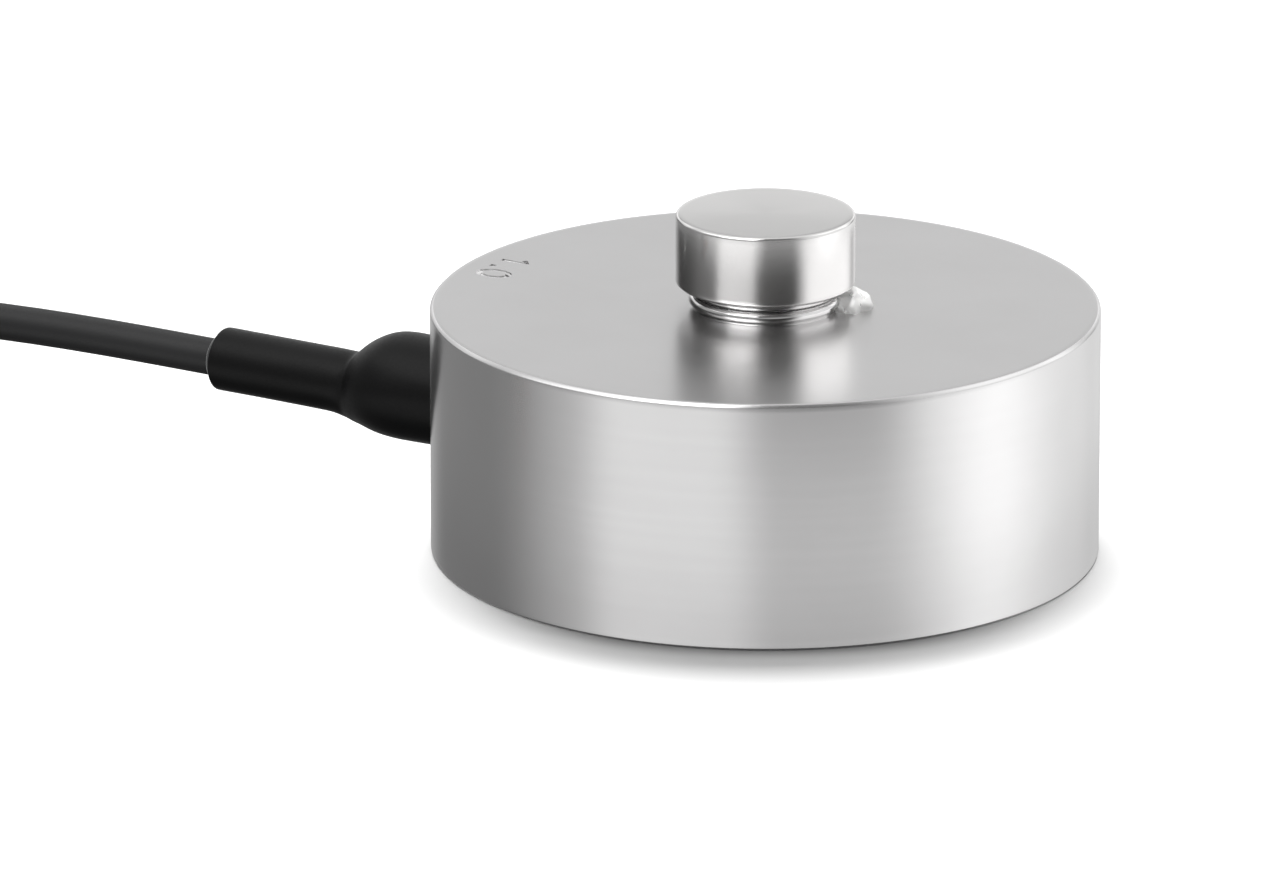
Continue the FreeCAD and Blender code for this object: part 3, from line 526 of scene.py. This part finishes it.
dress([f"strain_gauge_{number}" for number in range(1, GAUGE_COUNT + 1)], mottled_finish(
    "amber_film", dark=(0.42, 0.20, 0.05), light=(0.55, 0.29, 0.08), patch=1.5, grain=0.1,
    roughness=(0.28, 0.42), bump=0.002))
dress([f"gauge_lead_{number}" for number in range(1, WIRE_COUNT + 1)], mottled_finish(
    "bare_copper", dark=(0.72, 0.36, 0.22), light=(0.86, 0.50, 0.34), patch=0.8, grain=0.06,
    roughness=(0.22, 0.38), bump=0.001, Metallic=1.0))

# Terminal board: a ring of green glass-fibre laminate held against the ledge.
# Four black chip resistors on its underside trim the bridge.

RESISTOR_COUNT = 4

dress(["terminal_board"], mottled_finish(
    "board_laminate", dark=(0.020, 0.090, 0.035), light=(0.030, 0.130, 0.050), patch=3.0, grain=0.15,
    roughness=(0.30, 0.45), bump=0.003))
dress([f"trim_resistor_{number}" for number in range(1, RESISTOR_COUNT + 1)], mottled_finish(
    "resistor_black", dark=(0.016, 0.016, 0.018), light=(0.030, 0.030, 0.032), patch=0.6, grain=0.08,
    roughness=(0.35, 0.55), bump=0.002))

# Bottom cover: a disc blanked from rolled stainless sheet, dropped into the base recess.
# A bead of grey sealant round its rim closes the cell.

ROLLED_STRETCH = (0.03, 1.0, 1.0)
ROLLED_GRAIN = 0.2
ROLLED_PATCH = 6.25
ROLLED_DULLING = 0.06
ROLLED_DEPTH = 0.001
ROLLED_SHADE = 0.88


def rolled_finish(name, colour, roughness):
    """Rolled sheet: straight grain along the sheet, faint dull patches."""
    finish, node, feed_shader = new_finish(name)
    place = node("TexCoord", {}).outputs["Object"]
    along = node("VectorMath", {0: place, 1: ROLLED_STRETCH}, operation="MULTIPLY").outputs["Vector"]
    grain = clouds(node, along, ROLLED_GRAIN, GRAIN_DETAIL)
    patches = clouds(node, place, ROLLED_PATCH, PATCH_DETAIL)
    shaded = [part * ROLLED_SHADE for part in colour]
    feed_shader({"Base Color": mixed(node, patches, (*shaded, 1.0), (*colour, 1.0)), "Metallic": 1.0,
                 "Roughness": graded(node, grain, CLOUD_LOW, CLOUD_HIGH, roughness - ROLLED_DULLING,
                                     roughness + ROLLED_DULLING),
                 "Normal": raised(node, grain, ROLLED_DEPTH)})
    return finish


dress(["bottom_cover"], rolled_finish("cover_steel", (0.56, 0.555, 0.545), roughness=0.34))
dress(["cover_sealant"], mottled_finish(
    "grey_sealant", dark=(0.20, 0.20, 0.20), light=(0.28, 0.28, 0.275), patch=2.5, grain=0.5,
    roughness=(0.35, 0.55), bump=0.03))

# Cable nipple: a small turned stub pressed into the wall, grooved to grip the sleeve.
# Black potting resin fills it round the cable. The shrink sleeve hides both.

dress(["cable_nipple"], rolled_finish("nipple_steel", (0.58, 0.575, 0.565), roughness=0.30))
dress(["nipple_potting"], mottled_finish(
    "black_potting", dark=(0.010, 0.010, 0.011), light=(0.018, 0.018, 0.019), patch=1.2, grain=0.2,
    roughness=(0.25, 0.45), bump=0.01))

# Shrink sleeve: black polyolefin tube, heated so that it grips the nipple and then the thinner cable.
# The shoulder between them is uneven where it shrank, and a lip of melted liner shows at its far end.

SLEEVE_OUTSIDE = [
    (25.10, 3.92), (25.22, 4.04), (26.5, 4.06), (28.5, 4.09), (30.3, 4.14), (31.6, 4.16), (32.7, 4.08),
    (33.6, 3.90), (34.4, 3.62), (35.1, 3.26), (35.6, 2.93), (36.0, 2.66), (36.3, 2.49), (36.6, 2.42),
    (37.0, 2.42), (37.8, 2.47), (39.4, 2.47), (44.0, 2.46), (47.0, 2.46), (48.3, 2.46), (48.46, 2.44),
    (48.52, 2.36),
]
SLEEVE_INSIDE = [(48.52, 1.60), (48.2, 1.54), (41.0, 1.54), (33.2, 1.54)]
SLEEVE_SOCKET = [(32.7, 3.31), (29.0, 3.31), (25.10, 3.31)]
SLEEVE_WIDE = 4.05
SLEEVE_NARROW = 2.46
SHOULDER_START = 32.0
SHOULDER_MIDDLE = 35.6
SHOULDER_REACH = 3.2
SHOULDER_TILT = 0.15
LEDGE_MIDDLE = 36.3
LEDGE_REACH = 1.3
LEDGE_HEIGHT = 0.30
END_START = 46.5
END_TILT = 0.08
CABLE_HEIGHT = 6.6
SLEEVE_SIDES = 48
SLEEVE_SOFTNESS = 2
SLEEVE_WANDER = 0.05
SLEEVE_WAVES = Vector((0.35, 0.5, 0.5))
LINER_RINGS = [(48.15, 1.48), (48.15, 2.16), (48.55, 2.14), (48.88, 1.96), (49.12, 1.62), (49.15, 1.48)]


def ring_skin(shape, rings, place):
    """Bridges a closed row of rings, each (distance along, offset up, radius), into a hollow sleeve."""
    loops = []
    for distance, offset, radius in rings:
        spot = place @ Matrix.Translation((0, offset * MM, distance * MM))
        ring = bmesh.ops.create_circle(shape, segments=SLEEVE_SIDES, radius=radius * MM, matrix=spot)
        loops.append(list({edge for vertex in ring["verts"] for edge in vertex.link_edges}))
    for loop, following in zip(loops, loops[1:] + loops[:1]):
        bmesh.ops.bridge_loops(shape, edges=loop + following)
    bmesh.ops.recalc_face_normals(shape, faces=shape.faces)


def soften(piece, levels):
    """Rounds a coarse shape with a subdivision surface."""
    smoother = piece.modifiers.new("soft", "SUBSURF")
    smoother.levels = levels
    smoother.render_levels = levels
    for face in piece.data.polygons:
        face.use_smooth = True


def facing(start, way):
    """Place whose own Z runs along the way, with its Y upright."""
    ahead = Vector(way).normalized()
    aside = Vector((0, 0, 1)).cross(ahead).normalized()
    turned = Matrix((aside, ahead.cross(aside), ahead)).transposed().to_4x4()
    return Matrix.Translation([value * MM for value in start]) @ turned


def hump(distance, middle, reach):
    """One at the middle, falling to nothing at its reach."""
    return max(0.0, 1 - ((distance - middle) / reach) ** 2)


outwards = facing((0, 0, 0), (-1, 0, 0))
sleeve_rings = []
for distance, radius in SLEEVE_OUTSIDE:
    shrunk = min(max((SLEEVE_WIDE - radius) / (SLEEVE_WIDE - SLEEVE_NARROW), 0.0), 1.0)
    sink = (CABLE_HEIGHT - NIPPLE_HEIGHT) * shrunk if distance > SHOULDER_START else 0.0
    sleeve_rings.append((distance, NIPPLE_HEIGHT + sink, radius))
sleeve_rings += [(distance, CABLE_HEIGHT, radius) for distance, radius in SLEEVE_INSIDE]
sleeve_rings += [(distance, NIPPLE_HEIGHT, radius) for distance, radius in SLEEVE_SOCKET]
shape = bmesh.new()
ring_skin(shape, sleeve_rings, outwards)
for vertex in shape.verts:
    distance = -vertex.co.x / MM
    upwards = vertex.normal.z
    on_shoulder = hump(distance, SHOULDER_MIDDLE, SHOULDER_REACH)
    on_ledge = hump(distance, LEDGE_MIDDLE, LEDGE_REACH) * max(0.0, -upwards)
    at_end = max(0.0, distance - END_START) / (SLEEVE_OUTSIDE[-1][0] - END_START)
    vertex.co.x += (SHOULDER_TILT * on_shoulder + END_TILT * at_end) * upwards * MM
    swell = LEDGE_HEIGHT * on_ledge + SLEEVE_WANDER * noise.noise(vertex.co / MM * SLEEVE_WAVES)
    vertex.co += vertex.normal * swell * MM
sleeve = piece_from("cable_sleeve", shape)
soften(sleeve, SLEEVE_SOFTNESS)
sleeve.data.materials.append(mottled_finish(
    "shrink_tube", dark=(0.0010, 0.0010, 0.0011), light=(0.0024, 0.0024, 0.0026), patch=2.5, grain=0.16,
    roughness=(0.36, 0.48), bump=0.006, **{"Specular IOR Level": 0.16}))
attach(sleeve, "root")
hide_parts("shrink_sleeve")

shape = bmesh.new()
ring_skin(shape, [(distance, CABLE_HEIGHT, radius) for distance, radius in LINER_RINGS], outwards)
liner = piece_from("melted_liner", shape)
soften(liner, SLEEVE_SOFTNESS)
liner.data.materials.append(mottled_finish(
    "melted_liner", dark=(0.030, 0.030, 0.031), light=(0.055, 0.055, 0.056), patch=0.7, grain=0.2,
    roughness=(0.12, 0.25), bump=0.01))
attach(liner, "root")
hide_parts("sleeve_liner")

# Coil tie: a black nylon cable tie, moulded in one piece and pulled tight round the coil.
# Its square head lies on top of the coil, and the spare end is cut off short.

TIE_ANGLE = 290
TIE_BAND = [(9.55, 0.0), (25.05, 0.0), (25.05, 12.2), (9.55, 12.2)]
TIE_WIDTH = 4.0
TIE_THICKNESS = 0.6
TIE_BEND = 1.5
TIE_BEND_SEGMENTS = 6
TIE_HEAD = (5.2, 5.4, 3.0)
TIE_HEAD_PLACE = (19.0, -2.0, 13.1)
TIE_STUB = (3.6, 3.4, 0.9)
TIE_STUB_PLACE = (15.2, -2.0, 13.5)
TIE_EDGE = 0.3
TIE_EDGE_SEGMENTS = 3

shape = bmesh.new()
corners = [shape.verts.new((across * MM, 0, height * MM)) for across, height in TIE_BAND]
sides = [shape.edges.new(pair) for pair in zip(corners, corners[1:] + corners[:1])]
swept = bmesh.ops.extrude_edge_only(shape, edges=sides)["geom"]
bmesh.ops.translate(shape, verts=[part for part in swept if isinstance(part, bmesh.types.BMVert)],
                    vec=(0, -TIE_WIDTH * MM, 0))
bmesh.ops.recalc_face_normals(shape, faces=shape.faces)
folds = [edge for edge in shape.edges if abs(edge.verts[0].co.y - edge.verts[1].co.y) > MM]
round_edges(shape, folds, TIE_BEND, TIE_BEND_SEGMENTS)
bmesh.ops.recalc_face_normals(shape, faces=shape.faces)
bmesh.ops.solidify(shape, geom=shape.faces[:], thickness=TIE_THICKNESS * MM)
for size, spot in ((TIE_HEAD, TIE_HEAD_PLACE), (TIE_STUB, TIE_STUB_PLACE)):
    block = bmesh.ops.create_cube(shape, size=MM)["verts"]
    bmesh.ops.scale(shape, verts=block, vec=size)
    bmesh.ops.translate(shape, verts=block, vec=[value * MM for value in spot])
    rims = list({edge for vertex in block for edge in vertex.link_edges})
    round_edges(shape, rims, TIE_EDGE, TIE_EDGE_SEGMENTS)
coil_place = Matrix.Translation((COIL_MIDDLE[0] * MM, COIL_MIDDLE[1] * MM, 0))
bmesh.ops.transform(shape, verts=shape.verts,
                    matrix=coil_place @ Matrix.Rotation(math.radians(TIE_ANGLE), 4, "Z"))
tie = piece_from("cable_tie", shape)
smooth_faces(tie)
tie.data.materials.append(mottled_finish(
    "black_nylon", dark=(0.012, 0.012, 0.013), light=(0.022, 0.022, 0.023), patch=2.0, grain=0.12,
    roughness=(0.30, 0.42), bump=0.004))
hide_from(tie, "glossy")
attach(tie, "root")
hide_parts("coil_tie")

# Cable end: a short black end sleeve over the jacket, and four coloured cores fanned out for wiring.
# Each core is thin-walled insulation, stripped back to its tinned strands.

TAIL_END = Vector(TAIL_ROUTE[-1])
TAIL_WAY = (Vector(TAIL_ROUTE[-1]) - Vector(TAIL_ROUTE[-2])).normalized()
BOOT_BACK = 8.0
BOOT_RINGS = [
    (0.0, 1.62), (0.12, 1.86), (0.6, 1.94), (5.0, 1.94), (9.4, 1.93), (9.9, 1.84), (10.0, 1.62),
    (10.0, 1.40), (8.0, 1.42), (2.0, 1.42), (0.0, 1.46),
]
CORE_DIAMETER = 0.8
STRAND_DIAMETER = 0.46
CORE_SPACING = 1.0
CORE_SMOOTHNESS = 16
FAN_START = 6.0
FAN_LENGTH = 20.0
STRIPPED = 0.80
STRAND_HIDDEN = 0.1
CORES = [
    ("red", -1, 1, 14.0, (0.42, 0.012, 0.010), (0.52, 0.020, 0.016)),
    ("black", 1, 1, -5.0, (0.010, 0.010, 0.011), (0.017, 0.017, 0.018)),
    ("green", -1, -1, 5.0, (0.010, 0.190, 0.040), (0.016, 0.250, 0.055)),
    ("white", 1, -1, -14.0, (0.70, 0.70, 0.68), (0.80, 0.80, 0.78)),
]

shape = bmesh.new()
ring_skin(shape, [(distance, 0.0, radius) for distance, radius in BOOT_RINGS],
          facing(TAIL_END - TAIL_WAY * BOOT_BACK, TAIL_WAY))
boot = piece_from("end_sleeve", shape)
soften(boot, SLEEVE_SOFTNESS)
boot.data.materials.append(mottled_finish(
    "end_sleeve_black", dark=(0.006, 0.006, 0.0065), light=(0.011, 0.011, 0.012), patch=1.8, grain=0.15,
    roughness=(0.36, 0.48), bump=0.006))
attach(boot, "root")
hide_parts("end_boot")

strand_finish = mottled_finish(
    "tinned_strands", dark=(0.62, 0.61, 0.58), light=(0.76, 0.75, 0.72), patch=0.5, grain=0.08,
    roughness=(0.25, 0.40), bump=0.01, Metallic=1.0)
upright = Vector((0, 0, 1))
aside = upright.cross(TAIL_WAY)
cable_end = [tie, boot]
for colour, across, rise, fan_angle, dark, light in CORES:
    insulation = mottled_finish(f"{colour}_insulation", dark, light, patch=1.5, grain=0.1,
                                roughness=(0.30, 0.42), bump=0.002)
    dress([f"{colour}_core_inner"], insulation)
    start = TAIL_END + aside * (across * CORE_SPACING / 2) + upright * (rise * CORE_SPACING / 2)
    bend = start + TAIL_WAY * FAN_START
    fan = math.radians(fan_angle)
    tip = bend + (TAIL_WAY * math.cos(fan) - aside * math.sin(fan)) * FAN_LENGTH
    tip.z = CORE_DIAMETER / 2
    core = drawn_line(f"{colour}_core", [start, bend, tip], CORE_DIAMETER, CORE_SMOOTHNESS)
    core.data.bevel_factor_end = STRIPPED
    core.data.materials.append(insulation)
    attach(core, "root")
    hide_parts(f"{colour}_core_tail")
    strands = drawn_line(f"{colour}_strands", [start, bend, tip], STRAND_DIAMETER, CORE_SMOOTHNESS)
    strands.data.bevel_factor_start = STRIPPED - STRAND_HIDDEN
    strands.data.materials.append(strand_finish)
    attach(strands, "root")
    cable_end += [core, strands]

# Table: a plain studio table, sprayed matt white, with a narrow contact shade painted darker into its colour in
# front of the body's foot.
# It is open from below, so that the base can be looked at too.

TABLE_HALF = 15.0
TABLE_DARK = (0.43, 0.43, 0.43, 1.0)
TABLE_LIGHT = (0.44, 0.44, 0.44, 1.0)
TABLE_CLOUD, TABLE_DETAIL = 333.3, 2.0
TABLE_ROUGHNESS = 0.9
TABLE_SHEEN = 0.1
BLACK = (0.0, 0.0, 0.0, 1.0)
CAMERA_HEADING = math.atan2(CAMERA_PLACE.y, CAMERA_PLACE.x)
# Painted contact shade: where it is centred round the foot, how far it reaches and how dark it is painted.
CONTACT_MIDDLE = 0
CONTACT_SIDES = (20, 58)
CONTACT_REACH = (24.0, 27.5)
PAINTED_SHADE_DEPTH = 0.72


def flat_square(name, half, sink):
    """A level square round the middle, sunk below the table's height in millimetres."""
    shape = bmesh.new()
    bmesh.ops.create_grid(shape, x_segments=1, y_segments=1, size=half)
    bmesh.ops.translate(shape, verts=shape.verts, vec=(0, 0, -sink * MM))
    return piece_from(name, shape)


def apart_from(node, place, middle):
    """How far round the upright axis a place lies from a heading, which is in degrees from the camera's side."""
    split = node("SeparateXYZ", {"Vector": place})
    heading = calculated(node, "ARCTAN2", split.outputs["Y"], split.outputs["X"])
    turned = calculated(node, "SUBTRACT", heading, CAMERA_HEADING + math.radians(middle))
    return calculated(node, "ABSOLUTE", calculated(node, "WRAP", turned, math.pi, -math.pi))


def beside(node, place, middle, sides, level):
    """A level that fades out softly from one side angle to the other, both ways from a heading in degrees."""
    near, far = sides
    return graded(node, apart_from(node, place, middle), math.radians(near), math.radians(far), level, 0.0,
                  "SMOOTHSTEP")


def set_surface(finish, surface):
    """Makes a shader the surface of a finish."""
    finish.node_tree.links.new(surface, finish.node_tree.nodes["Material Output"].inputs["Surface"])


table = flat_square("table", TABLE_HALF, 0.0)
hide_from(table, "glossy", "diffuse", "transmission", "shadow")
table_finish, node, feed_shader = new_finish("white_table")
place = node("TexCoord", {}).outputs["Object"]
reach = node("VectorMath", {0: place}, operation="LENGTH").outputs["Value"]
# Painted shade: the table's colour is mixed towards black in a narrow band just in front of the body's foot.
near_foot = graded(node, reach, CONTACT_REACH[0] * MM, CONTACT_REACH[1] * MM, 1.0, 0.0, "SMOOTHSTEP")
in_front = beside(node, place, CONTACT_MIDDLE, CONTACT_SIDES, PAINTED_SHADE_DEPTH)
painted_contact_shade = calculated(node, "MULTIPLY", near_foot, in_front)
paint = mixed(node, clouds(node, place, TABLE_CLOUD, TABLE_DETAIL), TABLE_DARK, TABLE_LIGHT)
feed_shader({"Base Color": mixed(node, painted_contact_shade, paint, BLACK), "Roughness": TABLE_ROUGHNESS,
             "Specular IOR Level": TABLE_SHEEN})
table_shader = table_finish.node_tree.nodes["Principled BSDF"]
underside = node("NewGeometry", {}).outputs["Backfacing"]
see_through = node("BsdfTransparent", {})
set_surface(table_finish, node("MixShader", {0: underside, 1: table_shader.outputs["BSDF"],
                                             2: see_through.outputs["BSDF"]}).outputs["Shader"])
table.data.materials.append(table_finish)

# Foot shade: a sheet seen only in reflections, which paints shade into the table as the bright steel mirrors it.
# It paints the soft shade round the body's foot and the dim strip in front of the camera.

SHADE_HALF = 0.16
SHADE_SINK = 0.2
FOOT_REACH = (0.025, 0.055)
FOOT_SHARE = 0.80
STRIP_MIDDLE = 17
STRIP_SIDES = (13, 35)
STRIP_REACH = (0.062, 0.098)
STRIP_SHADE = 0.62

shade = flat_square("foot_shade", SHADE_HALF, SHADE_SINK)
hide_from(shade, "camera", "diffuse", "transmission", "shadow")
shade_finish, node, _ = new_finish("foot_shade")
place = node("TexCoord", {}).outputs["Object"]
reach = node("VectorMath", {0: place}, operation="LENGTH").outputs["Value"]
foot = graded(node, reach, *FOOT_REACH, FOOT_SHARE, 1.0, "SMOOTHSTEP")
along = graded(node, reach, *STRIP_REACH, 0.0, -1.0, "SMOOTHSTEP")
strip = beside(node, place, STRIP_MIDDLE, STRIP_SIDES, STRIP_SHADE)
share = calculated(node, "MULTIPLY", foot, calculated(node, "MULTIPLY_ADD", strip, along, 1.0))
# Painted shade in reflections: the sheet darkens whatever the steel mirrors through it, round the foot and in the
# strip.
set_surface(shade_finish, node("BsdfTransparent", {"Color": share}).outputs["BSDF"])
shade.data.materials.append(shade_finish)

# Light: soft panels high at the front left, at the right and overhead, and a pale wall behind the table.
# The pale table fills the lower half. A lamp over the back makes the soft shadow at the foot.

WHITE = (1.0, 1.0, 1.0, 1.0)
ROOM_LEVEL = 0.015
TABLE_LEVEL = 0.26
MIRRORED_TABLE_LEVEL = 0.04
SHADE_LEVEL = 0.06
HORIZON_EDGE = 0.06
PANEL_EDGE = 0.1
SHADE_EDGE = -0.65
MIRROR_DEPTH = 2.5
# A panel is its middle, half width and soft edge in degrees round from the camera's side, its lowest and
# highest height on a ball round the cell from -1 to 1, and its level. These show in any reflection.
PANELS = [
    (-80, 8, 34, 0.55, 1.5, 1.4), (180, 15, 24, 0.0, 0.58, 0.36), (180, 15, 24, 0.0, 0.30, 0.82),
]
# These show only in the first reflection.
DIRECT_PANELS = [
    (12, 62, 60, SHADE_EDGE, -0.15, 0.82), (-33, 18, 20, SHADE_EDGE, -0.10, 0.38),
    (112, 18, 58, SHADE_EDGE, 0.0, 0.88), (180, 10, 25, SHADE_EDGE, 0.0, 0.30),
    (0, 180, 10, -1.5, 0.0, TABLE_LEVEL),
    (0, 100, 40, 0.05, 0.42, 0.50), (0, 180, 10, 0.42, 1.5, 0.20), (-40, 22, 9, 0.50, 1.5, 2.6),
    (92, 30, 26, 0.0, 0.85, 0.7), (180, 85, 25, 0.50, 0.85, 0.75), (180, 80, 40, 0.85, 1.5, 0.8),
    (140, 12, 16, 0.15, 0.55, 0.9), (-140, 12, 16, 0.15, 0.55, 0.9),
]
# These show only where one steel face mirrors another, as between the button's side and the top face.
MIRRORED_PANELS = [
    (-40, 21, 9, 0.44, 1.5, 5.4), (92, 30, 26, 0.0, 0.85, 2.4), (180, 80, 40, 0.88, 1.5, 2.4),
    (150, 12, 14, 0.10, 0.60, 0.9),
]
LAMP_PLACE = (-0.32, 0.52, 1.62)
LAMP_POWER = 80.0
LAMP_SIZE = (0.9, 0.7)

studio = bpy.data.worlds.new("studio")
bpy.context.scene.world = studio
studio.use_nodes = True
node, feed = node_maker(studio.node_tree)
direction = node("TexCoord", {}).outputs["Generated"]
height = node("SeparateXYZ", {"Vector": direction}).outputs["Z"]


def step_at(edge, softness, before, after):
    """Goes softly from one level to another at a height."""
    return graded(node, height, edge - softness, edge + softness, before, after, "SMOOTHSTEP")


bounces = node("LightPath", {}).outputs["Ray Depth"]
mirrored = calculated(node, "GREATER_THAN", bounces, MIRROR_DEPTH)
direct = calculated(node, "LESS_THAN", bounces, MIRROR_DEPTH)
glow = calculated(node, "MULTIPLY_ADD", step_at(SHADE_EDGE, PANEL_EDGE, SHADE_LEVEL - TABLE_LEVEL, 0.0), direct,
                  step_at(0.0, HORIZON_EDGE, MIRRORED_TABLE_LEVEL, ROOM_LEVEL))
for panels, share in ((PANELS, 1.0), (DIRECT_PANELS, direct), (MIRRORED_PANELS, mirrored)):
    for middle, half, edge, lowest, highest, level in panels:
        panel = calculated(node, "MULTIPLY", beside(node, direction, middle, (half, half + edge), level),
                           step_at(lowest, PANEL_EDGE, 0.0, 1.0))
        panel = calculated(node, "MULTIPLY", panel, step_at(highest, PANEL_EDGE, 1.0, 0.0))
        glow = calculated(node, "MULTIPLY_ADD", panel, share, glow)
feed(studio.node_tree.nodes["Background"], {"Color": WHITE, "Strength": glow})

lamp_light = bpy.data.lights.new("ceiling_lamp", "AREA")
lamp_light.energy = LAMP_POWER
lamp_light.shape = "RECTANGLE"
lamp_light.size, lamp_light.size_y = LAMP_SIZE
lamp = bpy.data.objects.new("ceiling_lamp", lamp_light)
lamp.location = LAMP_PLACE
lamp.rotation_mode = "QUATERNION"
lamp.rotation_quaternion = (-lamp.location).to_track_quat("-Z", "Y")
hide_from(lamp, "glossy", "camera")
bpy.context.collection.objects.link(lamp)
lit_by_lamp = bpy.data.collections.new("lit_by_lamp")
for piece in (table, sealant):
    lit_by_lamp.objects.link(piece)
lamp.light_linking.receiver_collection = lit_by_lamp
shading_lamp = bpy.data.collections.new("shading_lamp")
for piece in (body, button):
    shading_lamp.objects.link(piece)
lamp.light_linking.blocker_collection = shading_lamp
bpy.context.scene.view_settings.view_transform = "Standard"
